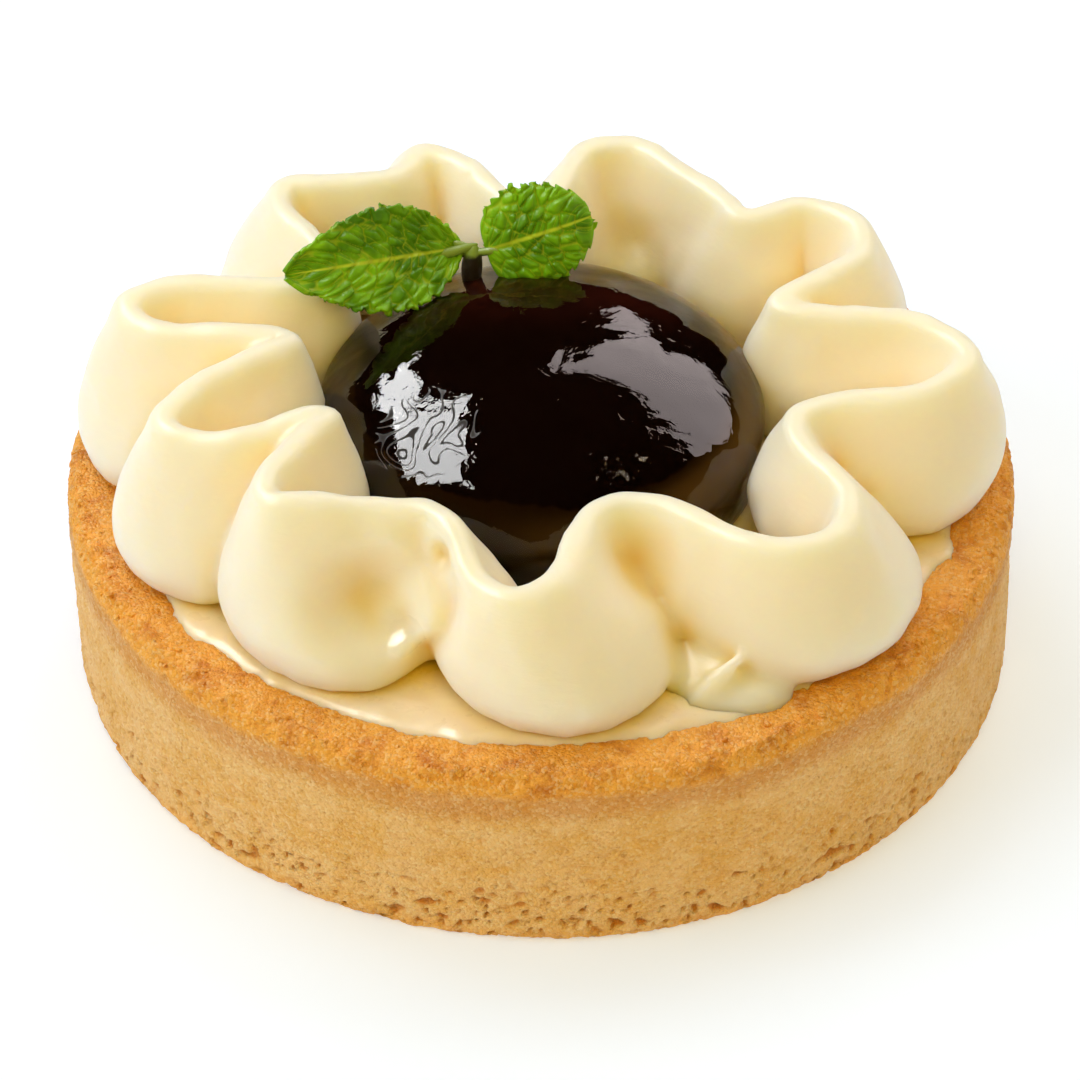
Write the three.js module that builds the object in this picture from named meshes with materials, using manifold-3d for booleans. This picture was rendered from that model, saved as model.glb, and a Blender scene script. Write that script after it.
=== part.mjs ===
// Berry ganache tart: a round shortcrust shell filled with set cream, a ruffle of white ganache
// piped round its edge with a petal nozzle, a glazed dome of dark berry gel in the middle and a
// sprig of two mint leaves. Millimetres, +Z up, origin under the middle of the shell's flat foot.
import * as THREE from "three";
import { mergeVertices } from "three/addons/utils/BufferGeometryUtils.js";
import { ParametricGeometry } from "three/addons/geometries/ParametricGeometry.js";
import Module from "manifold-3d";

const wasm = await Module();
wasm.setup();

const GAP = 0.3; // left between pieces that touch
const SAME_PLACE = 1e-3; // points closer than this are one

// Shortcrust shell, baked in a ring
const SHELL_RADIUS = 40;
const SHELL_FOOT_RADIUS = 39.6;
const SHELL_HEIGHT = 18;
const SHELL_WALL = 5.4;
const SHELL_FLOOR = 4;
const RIM_OUTER_ROUND = 2.2;
const RIM_INNER_ROUND = 1.2;
const FOOT_ROUND = 0.7;
const SHELL_SIDES = 72;
const RIM_WAVE = 0.14; // how far the baked rim rises and falls
const WALL_WAVE = 0.1; // how far the baked wall bulges
const BAKED_WAVES = [[3, 0.7, 0], [5, 2.1, 0.21], [11, 0, -0.33], [17, 4, 0]]; // count, phase, twist

// Set cream that fills the shell
const FILLING_EDGE_DROP = 0.7; // its edge lies this far under the middle
const FILLING_SLOPE = 6; // width of the sloping edge
const FILLING_EDGE_ROUND = 0.4;
const FILLING_SIDES = 48;

// Piped ruffle. Each lobe is one swing of the nozzle out over the rim and back to the dome, and has
// two bends: the outer one, then the inner one that follows it anticlockwise. A bend is given by the
// azimuth (degrees) and radius of its tip, and by how far its two shoulders lie to either side of
// the tip (degrees) and short of it. The ribbon leans, so its foot has bends of its own.
const LOBES = [
  {
    height: 29.9,
    ridge: [[-94.5, 30.8, 5.5, 1.6], [-72, 19.8, 7.5, 1.2]],
    foot: [[-86.2, 32.2, 9.5, 2.4], [-65.5, 22.8, 6, 1.3]],
  },
  {
    height: 29.8,
    ridge: [[-44.5, 32.9, 8.5, 2.3], [-22.5, 22.7, 6, 1.3]],
    foot: [[-42.5, 34.2, 9, 1.5], [-20.5, 23.3, 5, 1.2]],
  },
  {
    height: 30.5,
    ridge: [[-1.5, 35.6, 8, 3.6], [16.3, 20.7, 3, 1.3]],
    foot: [[-3, 34.3, 10, 2.3], [15.5, 22, 3.5, 1.2]],
  },
  {
    height: 30.9,
    ridge: [[33, 31.8, 8, 2], [47.5, 24.7, 3, 0.6]],
    foot: [[34, 31.4, 9, 1.6], [48, 24, 4, 0.9]],
  },
  {
    height: 31,
    ridge: [[74, 29.2, 7.5, 1.6], [93, 18.9, 5, 1.2]],
    foot: [[74, 31.2, 9, 1.6], [93, 21.8, 6, 1.3]],
  },
  {
    height: 31,
    ridge: [[110.5, 29.3, 4, 1.7], [119, 26.8, 3, 0.4]],
    foot: [[110.5, 31, 5, 1.5], [120, 26, 3.5, 0.8]],
  },
  {
    height: 31,
    ridge: [[134.5, 31.2, 4.5, 1.8], [153, 20, 7, 2.4]],
    foot: [[136, 31.6, 7, 1.5], [155, 22.6, 6, 1.3]],
  },
  {
    height: 31.8,
    ridge: [[172.3, 34.9, 5, 2.6], [181, 20.8, 2, 0.9]],
    foot: [[177.5, 34.7, 7.5, 2.4], [187, 22.5, 3, 1.2]],
  },
  {
    height: 32,
    ridge: [[200.5, 32.8, 7, 3.4], [211.5, 20.3, 1.5, 0.9]],
    foot: [[203.5, 33.6, 7, 2], [214.5, 22.5, 3, 1.2]],
  },
  {
    height: 32.7,
    ridge: [[225, 31, 4.5, 2.1], [246.5, 23.3, 5.5, 1.1]],
    foot: [[233, 31.7, 8.5, 1.2], [252, 23.4, 6, 1.2]],
  },
];
const RIBBON_FOOT = SHELL_HEIGHT + RIM_WAVE + GAP;
const RIBBON_RIDGE_HALF = 1.55; // half thickness of the ridge, where the nozzle is narrow
const RIBBON_BELLY_HALF = 4.4; // half thickness of the belly, where it is wide
const RIBBON_BELLY_HEIGHT = 3.4; // height of the belly above the ribbon's foot
const RIBBON_FOOT_HALF = 3.3;
const RIBBON_FULLNESS = 1.5; // over 1, the walls swell outwards between ridge and belly
const RIBBON_UNDERSIDE = [0.4, 0.75]; // a point from foot to belly: share of the rise and of the swell
const RIBBON_WALL_SHARES = [0, 0.4, 0.75]; // heights of the wall's points from belly to ridge
const RIBBON_CREST_ANGLES = [10, 50]; // degrees, of the points that round the ridge
const RIBBON_STATIONS = 224;
const FOLD_GAP = 0.18; // half the crease left where two walls of the ruffle meet

// Dome of berry gel under clear glaze
const DOME_RADIUS = 19;
const DOME_SHOULDER = 22.9; // height of its widest level
const DOME_RISE = 7.6; // height of its crown above that
const DOME_FOOT_RADIUS = 18;
const DOME_FOOT_SWELL = 0.8; // how far it has swollen halfway from foot to shoulder
const DOME_CROWN_STEPS = 10;
const DOME_SIDES = 48;

// Mint sprig. Each leaf has the base and tip of its midrib, the way that its blade faces, and its form.
const LEAVES = [
  {
    base: [-7.2, 13.2, 30.4],
    tip: [-21.4, 6.2, 32.9],
    facing: [0.38, -0.59, 0.51],
    halfWidth: 4.6,
    roundness: 0.7,
    arch: 1.1,
    cup: 0.5,
    teeth: 8,
  },
  {
    base: [-4.7, 12.8, 30.5],
    tip: [4.3, 14.4, 33],
    facing: [0.05, -0.78, 0.46],
    halfWidth: 4.7,
    roundness: 0.5,
    arch: 0.7,
    cup: -0.4,
    teeth: 7,
  },
];
const LEAF_THICK = 0.45;
const LEAF_TOOTH = 0.09; // share of the half width that each tooth takes
const LEAF_QUILT = 0.28; // height of the blade's bulges between its veins
const LEAF_QUILT_FADE = 0.5; // share of the bulges that is lost towards the margin
const LEAF_MIDRIB = 0.33; // share of the half width over which they rise from the midrib
const LEAF_VEIN_SLANT = 0.34; // how far along the blade a side vein runs on its way out
const LEAF_SKEW = 0.8; // under 1, the blade is widest towards its base
const LEAF_END_THIN = 0.4; // share of the thickness that is left at base and tip
const LEAF_STEPS = 32;
const LEAF_STEPS_ACROSS = 8;
const STEM_STEPS = 6;
const STEM_CORNERS = 4; // per half turn
const STEMS = [
  { radius: 0.85, points: [[-5.8, 12.6, 27.9], [-5.8, 12.8, 29.3], [-5.9, 13, 30], [-6.1, 13.1, 30.7]] },
  { radius: 0.6, points: [[-8.4, 12.5, 30.5], [-7.2, 13, 30.6], [-5.8, 13.1, 30.5], [-4.2, 12.8, 30.5]] },
];

const radians = THREE.MathUtils.degToRad;
const lerp = THREE.MathUtils.lerp;

// A closed geometry as a solid that can be joined and cut.
function solidOf(geometry) {
  const bare = new THREE.BufferGeometry();
  bare.setAttribute("position", geometry.getAttribute("position"));
  bare.setIndex(geometry.getIndex());
  const merged = mergeVertices(bare, SAME_PLACE);
  const corners = merged.getIndex().array;
  const kept = [];
  for (let i = 0; i < corners.length; i += 3) {
    const [a, b, c] = corners.subarray(i, i + 3);
    if (a !== b && b !== c && c !== a) kept.push(a, b, c);
  }
  const vertProperties = new Float32Array(merged.getAttribute("position").array);
  return new wasm.Manifold(
    new wasm.Mesh({ numProp: 3, vertProperties, triVerts: new Uint32Array(kept) }),
  );
}

function geometryOf(solid) {
  const mesh = solid.getMesh();
  const geometry = new THREE.BufferGeometry();
  geometry.setAttribute("position", new THREE.BufferAttribute(mesh.vertProperties, 3));
  geometry.setIndex(new THREE.BufferAttribute(mesh.triVerts, 1));
  geometry.computeVertexNormals();
  return geometry;
}

// Turns a lathed profile's axis from +Y to +Z.
function upright(geometry) {
  return geometry.rotateX(Math.PI / 2);
}

// A quarter round as profile points [radius, height], about a centre, from one angle to another.
function round(centre, size, from, to, steps) {
  return Array.from({ length: steps + 1 }, (_, i) => {
    const angle = radians(lerp(from, to, i / steps));
    return [centre[0] + size * Math.cos(angle), centre[1] + size * Math.sin(angle)];
  });
}

function lathe(profile, sides) {
  return upright(
    new THREE.LatheGeometry(
      profile.map(([r, z]) => new THREE.Vector2(r, z)),
      sides,
    ),
  );
}

// A slow, repeatable unevenness round the tart, between -1 and 1.
function unevenness(azimuth, height) {
  const swings = BAKED_WAVES.map(([count, phase, twist]) =>
    Math.sin(count * azimuth + phase + twist * height),
  );
  return swings.reduce((sum, swing) => sum + swing) / swings.length;
}

function makeShell() {
  const top = SHELL_HEIGHT;
  const bore = SHELL_RADIUS - SHELL_WALL;
  const wallFoot = [SHELL_FOOT_RADIUS - FOOT_ROUND, FOOT_ROUND];
  const outerCorner = [SHELL_RADIUS - RIM_OUTER_ROUND, top - RIM_OUTER_ROUND];
  const innerCorner = [bore + RIM_INNER_ROUND, top - RIM_INNER_ROUND];
  const lean = SHELL_RADIUS - SHELL_FOOT_RADIUS;
  const profile = [
    [0, 0],
    ...round(wallFoot, FOOT_ROUND, -90, 0, 2),
    ...[0.25, 0.5, 0.75].map((t) => [SHELL_FOOT_RADIUS + lean * t, top * t]),
    ...round(outerCorner, RIM_OUTER_ROUND, 0, 90, 4),
    ...round(innerCorner, RIM_INNER_ROUND, 90, 180, 2),
    [bore, SHELL_FLOOR],
    [0, SHELL_FLOOR],
  ];
  const geometry = lathe(profile, SHELL_SIDES);
  const place = geometry.getAttribute("position");
  for (let i = 0; i < place.count; i++) {
    const [x, y, z] = [place.getX(i), place.getY(i), place.getZ(i)];
    const radius = Math.hypot(x, y);
    if (radius < bore + GAP) continue;
    const azimuth = Math.atan2(y, x);
    const wave = unevenness(azimuth, z);
    const swell = Math.min(z / FOOT_ROUND, 1) * WALL_WAVE * wave;
    const rise = Math.max(0, z - outerCorner[1]) / RIM_OUTER_ROUND;
    const scale = (radius + (radius > outerCorner[0] ? swell : 0)) / radius;
    place.setXYZ(i, x * scale, y * scale, z + rise * RIM_WAVE * wave);
  }
  return geometry;
}

function makeFilling() {
  const radius = SHELL_RADIUS - SHELL_WALL - GAP;
  const bottom = SHELL_FLOOR + GAP;
  const edge = SHELL_HEIGHT - FILLING_EDGE_DROP;
  const profile = [
    [0, bottom],
    [radius, bottom],
    [radius, edge - FILLING_EDGE_ROUND],
    [radius - FILLING_EDGE_ROUND, edge],
    [radius - FILLING_SLOPE / 2, lerp(edge, SHELL_HEIGHT, 0.75)],
    [radius - FILLING_SLOPE, SHELL_HEIGHT],
    [0, SHELL_HEIGHT],
  ];
  return lathe(profile, FILLING_SIDES);
}

function polar(azimuth, radius, height) {
  const angle = radians(azimuth);
  return new THREE.Vector3(radius * Math.cos(angle), radius * Math.sin(angle), height);
}

// The three points of one bend: its two shoulders and the tip between them.
function bend([azimuth, radius, spread, drop], inwards, height) {
  return [-1, 0, 1].map((side) =>
    polar(azimuth + side * spread, radius - side * side * inwards * drop, height),
  );
}

// The ridge of the ruffle and the line of its foot, as closed curves that share one parameter.
function ruffleCurves() {
  const lines = { ridge: [], foot: [] };
  LOBES.forEach(({ height, ridge: [tip, turn], foot: [footTip, footTurn] }, i) => {
    const next = LOBES[(i + 1) % LOBES.length];
    lines.ridge.push(...bend(tip, 1, height), ...bend(turn, -1, (height + next.height) / 2));
    lines.foot.push(...bend(footTip, 1, RIBBON_FOOT), ...bend(footTurn, -1, RIBBON_FOOT));
  });
  const closed = (points) => new THREE.CatmullRomCurve3(points, true, "centripetal");
  return [closed(lines.ridge), closed(lines.foot)];
}

// The ribbon's section, from its foot to its ridge: share of the height and half thickness.
function ribbonLevels(extra) {
  const tall = LOBES[0].height - RIBBON_FOOT;
  const belly = RIBBON_BELLY_HEIGHT / tall;
  const shoulder = 1 - RIBBON_RIDGE_HALF / tall;
  const wall = RIBBON_WALL_SHARES.map((t) => [
    lerp(belly, shoulder, t),
    lerp(RIBBON_BELLY_HALF, RIBBON_RIDGE_HALF, t ** RIBBON_FULLNESS),
  ]);
  const crest = RIBBON_CREST_ANGLES.map((degrees) => [
    lerp(shoulder, 1, Math.sin(radians(degrees))),
    RIBBON_RIDGE_HALF * Math.cos(radians(degrees)),
  ]);
  const [rise, swell] = RIBBON_UNDERSIDE;
  const foot = [
    [0, RIBBON_FOOT_HALF],
    [belly * rise, lerp(RIBBON_FOOT_HALF, RIBBON_BELLY_HALF, swell)],
  ];
  return [...foot, ...wall, ...crest].map(([share, half]) => [share, half + extra]);
}

// How far the ribbon may reach to one side at each station before it meets another of its walls.
function reachTo(side, line, normals) {
  return line.map((here, i) => {
    const out = normals[i].clone().multiplyScalar(side);
    let reach = Infinity;
    line.forEach((there) => {
      const way = there.clone().sub(here);
      const ahead = way.dot(out);
      if (ahead > SAME_PLACE) reach = Math.min(reach, way.lengthSq() / (2 * ahead));
    });
    return reach;
  });
}

// One level of the ribbon: the left and right points of its wall at every station.
function ribbonWalls(line, half) {
  const count = line.length;
  const normals = line.map((_, i) => {
    const along = line[(i + 1) % count].clone().sub(line[(i + count - 1) % count]);
    return new THREE.Vector3(-along.y, along.x, 0).normalize();
  });
  const flat = line.map((p) => new THREE.Vector3(p.x, p.y, 0));
  return [1, -1].map((side) => {
    const reach = reachTo(side, flat, normals);
    return line.map((p, i) => {
      const width = Math.max(FOLD_GAP, Math.min(half, reach[i] - FOLD_GAP));
      return p.clone().addScaledVector(normals[i], side * width);
    });
  });
}

// The ruffle as a closed ring. extra thickens it all over, to cut clearance from its neighbours.
function makeRuffle(extra = 0) {
  const [ridge, foot] = ruffleCurves();
  const shares = Array.from({ length: RIBBON_STATIONS }, (_, i) =>
    ridge.getUtoTmapping(i / RIBBON_STATIONS),
  );
  const tops = shares.map((t) => ridge.getPoint(t));
  const feet = shares.map((t) => foot.getPoint(t).setZ(RIBBON_FOOT - extra));
  const crest = tops.map((p) => p.clone().setZ(p.z + extra));
  const levels = ribbonLevels(extra).map(([share, half]) => {
    const line = feet.map((p, i) => p.clone().lerp(tops[i], share));
    return ribbonWalls(line, half);
  });
  const loop = [
    ...levels.map(([left]) => left),
    crest,
    ...levels.map(([, right]) => right).reverse(),
  ];
  const pointAt = (u, v, target) => {
    const around = Math.round(u * loop.length) % loop.length;
    const along = Math.round(v * RIBBON_STATIONS) % RIBBON_STATIONS;
    target.copy(loop[around][along]);
  };
  return new ParametricGeometry(pointAt, loop.length, RIBBON_STATIONS);
}

// The dome. extra swells it all over, to cut clearance from what lies on it.
function makeDome(extra = 0) {
  const radius = DOME_RADIUS + extra;
  const crown = Array.from({ length: DOME_CROWN_STEPS }, (_, i) => {
    const angle = radians((90 * i) / DOME_CROWN_STEPS);
    return [radius * Math.cos(angle), DOME_SHOULDER + (DOME_RISE + extra) * Math.sin(angle)];
  });
  const foot = SHELL_HEIGHT + GAP;
  const profile = [
    [0, foot],
    [DOME_FOOT_RADIUS, foot],
    [lerp(DOME_FOOT_RADIUS, radius, DOME_FOOT_SWELL), (foot + DOME_SHOULDER) / 2],
    ...crown,
    [0, DOME_SHOULDER + DOME_RISE + extra],
  ];
  return lathe(profile, DOME_SIDES);
}

// Height of a leaf's face above its flat plane, at shares along (0 to 1) and across (-1 to 1).
function bladeHeight({ arch, cup, teeth }, along, across) {
  const side = Math.abs(across);
  const vein = teeth * (along - LEAF_VEIN_SLANT * side) * Math.PI;
  const raised = Math.min(1, side / LEAF_MIDRIB) * (1 - LEAF_QUILT_FADE * side);
  const quilt = LEAF_QUILT * Math.abs(Math.sin(vein)) * raised;
  return arch * 4 * along * (1 - along) + cup * side * side + quilt;
}

function leafHalfWidth({ halfWidth, roundness, teeth }, along) {
  const outline = Math.sin(Math.PI * along ** LEAF_SKEW) ** roundness;
  const tooth = (teeth * along) % 1;
  return halfWidth * outline * (1 - LEAF_TOOTH * tooth);
}

// A thin blade whose two faces share one grid. The rows at its base and tip are single points.
function makeLeaf(leaf) {
  const base = new THREE.Vector3(...leaf.base);
  const tip = new THREE.Vector3(...leaf.tip);
  const length = tip.distanceTo(base);
  const along = tip.clone().sub(base).normalize();
  const facing = new THREE.Vector3(...leaf.facing);
  const across = facing.clone().cross(along).normalize();
  const normal = along.clone().cross(across);
  const frame = new THREE.Matrix4().makeBasis(along, across, normal).setPosition(base);
  const turns = 2 * LEAF_STEPS_ACROSS;
  const pointAt = (u, v, target) => {
    const step = Math.round(u * turns) % turns;
    const under = step > LEAF_STEPS_ACROSS;
    const column = under ? turns - step : step;
    const share = 1 - (2 * column) / LEAF_STEPS_ACROSS;
    const inside = v > 0 && v < 1 ? 1 : 0;
    const width = inside * leafHalfWidth(leaf, v);
    const thin = Math.min(1, LEAF_END_THIN + 6 * v * (1 - v)) * (1 - share ** 4);
    const lift = bladeHeight(leaf, v, share) - (under ? LEAF_THICK * thin : 0);
    target.set(v * length, share * width, inside * lift).applyMatrix4(frame);
  };
  return new ParametricGeometry(pointAt, turns, LEAF_STEPS);
}

function makeStem({ radius, points }) {
  const section = new THREE.Shape();
  section.absarc(0, 0, radius, 0, 2 * Math.PI);
  return new THREE.ExtrudeGeometry(section, {
    steps: STEM_STEPS,
    curveSegments: STEM_CORNERS,
    bevelEnabled: false,
    extrudePath: new THREE.CatmullRomCurve3(points.map((p) => new THREE.Vector3(...p))),
  });
}

const MATERIALS = {
  shortcrust: { color: 0xd9a562, roughness: 0.9 },
  cream: { color: 0xf0e0b4, roughness: 0.45 },
  ganache: { color: 0xf3e6c0, roughness: 0.4 },
  berry: { color: 0x1c0706, roughness: 0.06 },
  mint: { color: 0x4d8a1a, roughness: 0.5 },
};

function node(name, geometry, material) {
  const look = new THREE.MeshStandardMaterial({ metalness: 0, ...MATERIALS[material] });
  const mesh = new THREE.Mesh(geometry, look);
  mesh.name = name;
  return mesh;
}

const dome = solidOf(makeDome()).subtract(solidOf(makeRuffle(GAP)));
const sprig = [...LEAVES.map(makeLeaf), ...STEMS.map(makeStem)]
  .map(solidOf)
  .reduce((whole, piece) => whole.add(piece))
  .subtract(solidOf(makeDome(GAP)));

const tart = new THREE.Group();
tart.add(
  node("tart_shell", geometryOf(solidOf(makeShell())), "shortcrust"),
  node("cream_filling", geometryOf(solidOf(makeFilling())), "cream"),
  node("ganache_ruffle", geometryOf(solidOf(makeRuffle())), "ganache"),
  node("berry_dome", geometryOf(dome), "berry"),
  node("mint_sprig", geometryOf(sprig), "mint"),
);

export default tart;
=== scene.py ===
"""Berry ganache tart: a shortcrust shell of set cream with a piped ganache ruffle, a berry gel dome
and a mint sprig."""

import math
import random

import bmesh
import bpy
from mathutils import Matrix, Vector, noise
from mathutils.bvhtree import BVHTree


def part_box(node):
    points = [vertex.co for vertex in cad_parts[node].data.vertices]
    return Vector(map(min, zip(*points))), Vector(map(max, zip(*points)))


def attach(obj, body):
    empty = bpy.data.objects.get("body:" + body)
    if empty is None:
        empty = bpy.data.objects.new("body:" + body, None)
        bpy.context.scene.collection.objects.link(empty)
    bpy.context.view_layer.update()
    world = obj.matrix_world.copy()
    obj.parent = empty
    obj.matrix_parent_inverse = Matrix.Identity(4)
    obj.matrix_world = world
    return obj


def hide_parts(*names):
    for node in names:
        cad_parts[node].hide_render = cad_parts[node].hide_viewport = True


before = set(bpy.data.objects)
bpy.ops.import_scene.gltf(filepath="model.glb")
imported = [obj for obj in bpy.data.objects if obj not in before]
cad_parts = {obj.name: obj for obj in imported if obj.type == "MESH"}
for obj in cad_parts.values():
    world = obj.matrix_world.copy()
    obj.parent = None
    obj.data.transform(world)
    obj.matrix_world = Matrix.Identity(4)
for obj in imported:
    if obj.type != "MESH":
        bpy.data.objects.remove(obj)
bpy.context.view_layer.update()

bl_info = {
    "name": "Berry Ganache Tart",
    "version": (1, 0, 0),
    "blender": (4, 5, 0),
    "location": "3D View > Sidebar > Tart",
    "description": "Builds the looks of a berry ganache tart round its packed model",
    "category": "Object",
}

MM = 0.001
WELD = 1e-6  # vertices that are closer than this become one
BODY = "root"
SECTORS = 12  # a round shape is spun as one sector, which is then repeated
SHELL_STEPS, CREAM_STEPS, DOME_STEPS = 900, 480, 300  # steps of a full turn
WALL = 5.4  # thickness of the shell's wall, in mm
SHELL_FLOOR = 4  # thickness of its floor, in mm
SHOULDER = 22.9  # height where the gel's side turns into its crown, in mm
CROWN_STEPS = 80
LEAF_GRID = (150, 64)  # faces along and across a leaf

# The photograph's camera, fitted to the tart's outline
PHOTO_SIDE_PX = 1080
PHOTO_PX_PER_MM = 11.719  # at the aim
CAMERA_AIM = Vector((-0.068, 0, 9.19)) * MM
CAMERA_DISTANCE = 500 * MM
CAMERA_ELEVATION = math.radians(40.2)
SENSOR_WIDTH = 36  # of the camera, in mm

UP = (0, 0, 1)
WHITE = (1.0, 1.0, 1.0)
WARM = (1.0, 0.76, 0.05)  # colour of the light on the camera's side
COOL = (0.84, 0.92, 1.0)  # colour of the light on the left
ROSY = (1.0, 0.86, 0.85)  # colour of the light that the glaze mirrors on the right
GLINT_AXIS = (0.11, 0.98, -0.16)  # the long side of the light that the glaze mirrors on the left

GRAIN = 0.26  # size of the crust's sandy grains, in mm
PIT = "pit"  # the attribute that tells how deep a hole in the crumb is
QUILT = "quilt"  # the attribute that tells how far a leaf's skin is raised
BLADE = "blade"  # the map that runs along and across a leaf
HOLLOW = "hollow"  # the attribute that tells how closed in the cream is
HOLLOW_REACH = 9 * MM
HOLLOW_RAYS = 24
HOLLOW_ROUNDS = 6  # of averaging
CORE_MIDDLE = (0.0, -0.7, 0.0)  # axis of the dark gel
WRINKLED_SKIN = (-9.4, -8.8, 28.4)  # where the glaze has a creased skin
# Bubbles in the glaze: number, centre and spread in x and y, in millimetres
BUBBLES = [(24, (5.7, -13.2), (0.9, 0.5)), (6, (8.1, -11.6), (0.4, 0.2)), (8, (0, -8), (8, 4))]
BUBBLE_SEED = 5

# Where the piped ribbon was pulled or dented: centre, reach and move, in millimetres
PULLS = [
    ((-8.8, -27.4, 25.5), 5.5, (1.8, 0.1, 0.0)),  # left wall of the front lobe
    ((-14.4, -26.8, 25.0), 6.2, (-0.8, 3.4, -1.0)),  # hollow beside the ribbon's start
    ((-9.4, -25.4, 24.0), 3.8, (0.8, -2.8, 0.2)),  # bulge at the ribbon's start
    ((-12.0, -24.4, 29.6), 3.2, (0.0, -0.6, 0.3)),  # blunt end of the ribbon
    ((-7.8, -25.4, 29.0), 2.0, (0.3, 1.6, -1.0)),  # crease between the start and the front lobe
    ((-11.0, -28.3, 21.7), 1.9, (0.0, -0.9, 0.5)),  # torn ledge low on the bulge
    ((-11.0, -27.4, 23.8), 1.8, (0.2, 1.1, -0.3)),
    ((7.6, -22.6, 26.2), 5.2, (-0.5, 1.3, -1.2)),  # fold between the front lobes
    ((7.0, 25.7, 26.0), 4.5, (-0.3, -1.6, 0.0)),  # bottom of the fold behind the right leaf
]
# Cream that was added by hand: start, its radius, end, its radius
STRANDS = [
    ((20.4, -28.8, 17.5), 2.5, (12.4, -31.1, 16.8), 1.9),  # runs down from the right front lobe
    ((16.4, -28.9, 21.9), 0.7, (11.4, -31.3, 17.5), 0.8),  # its thin tail
    ((9.8, -24.6, 18.5), 1.6, (13.2, -30.6, 16.6), 2.0),  # foot of the fold between the front lobes
    ((10.4, -25.0, 18.4), 1.9, (18.0, -29.6, 17.6), 2.6),
    ((4.4, 23.4, 19.6), 3.6, (11.4, 21.8, 19.6), 3.6),  # foot of the fold behind the right leaf
    ((7.2, 24.6, 21.5), 2.4, (6.9, 25.8, 26.2), 1.5),
]
# Where the ribbon is worked smooth: centre, reach and rounds
SOFTENED = [
    ((-9.6, 25.0, 29.3), 4.2, 30),
    ((7.8, 23.6, 22.5), 5.2, 60),
    ((15.0, -30.2, 17.4), 3.1, 12),
    ((12.4, -28.0, 18.0), 3.3, 14),
]
# Where more shade is painted into the folds of the cream: centre, reach and share
FOLD_SHADE_SPOTS = [
    ((-13.2, -26.0, 24.0), 4.2, 0.34),
    ((-7.2, -26.5, 29.6), 2.2, 0.3),
    ((7.6, -23.5, 26.4), 5.0, 0.26),
]
WET_LEDGE = (-11.0, -28.0, 22.8)  # where the torn ledge shines
# Where a thin smear of cream lies on the crust: azimuth from +X and half its width in degrees, and
# its reach in millimetres
SMEARS = [
    (-19, 5, 0.9),
    (-62, 6, 0.9),
    (-75, 4, 0.6),
    (-143, 7, 0.8),
    (-128, 3, 0.4),
    (-100, 4, 0.4),
]
CRUMBS = 700
CRUMB_SEED = 11


# ---------------------------------------------------------------- materials


class Wire:
    """A value or colour that runs through a look. Arithmetic on a value adds its Math nodes."""

    def __init__(self, look, socket):
        self.look = look
        self.socket = socket

    def math(self, operation, *values):
        settings = {"operation": operation}
        return self.look.node("ShaderNodeMath", settings, dict(enumerate(values)))

    def __add__(self, other):
        return self.math("ADD", self, other)

    def __radd__(self, other):
        return self.math("ADD", other, self)

    def __sub__(self, other):
        return self.math("SUBTRACT", self, other)

    def __rsub__(self, other):
        return self.math("SUBTRACT", other, self)

    def __mul__(self, other):
        return self.math("MULTIPLY", self, other)

    def __rmul__(self, other):
        return self.math("MULTIPLY", other, self)

    def __abs__(self):
        return self.math("ABSOLUTE", self)

    def sine(self):
        return self.math("SINE", self)

    def most(self, other):
        return self.math("MAXIMUM", self, other)

    def step(self, low, high):
        """0 below low, 1 above high and smooth between; turned round if high is below low."""
        inputs = {0: self, 1: low, 2: high, 3: 0.0, 4: 1.0}
        return self.look.node("ShaderNodeMapRange", {"interpolation_type": "SMOOTHSTEP"}, inputs)


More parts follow.
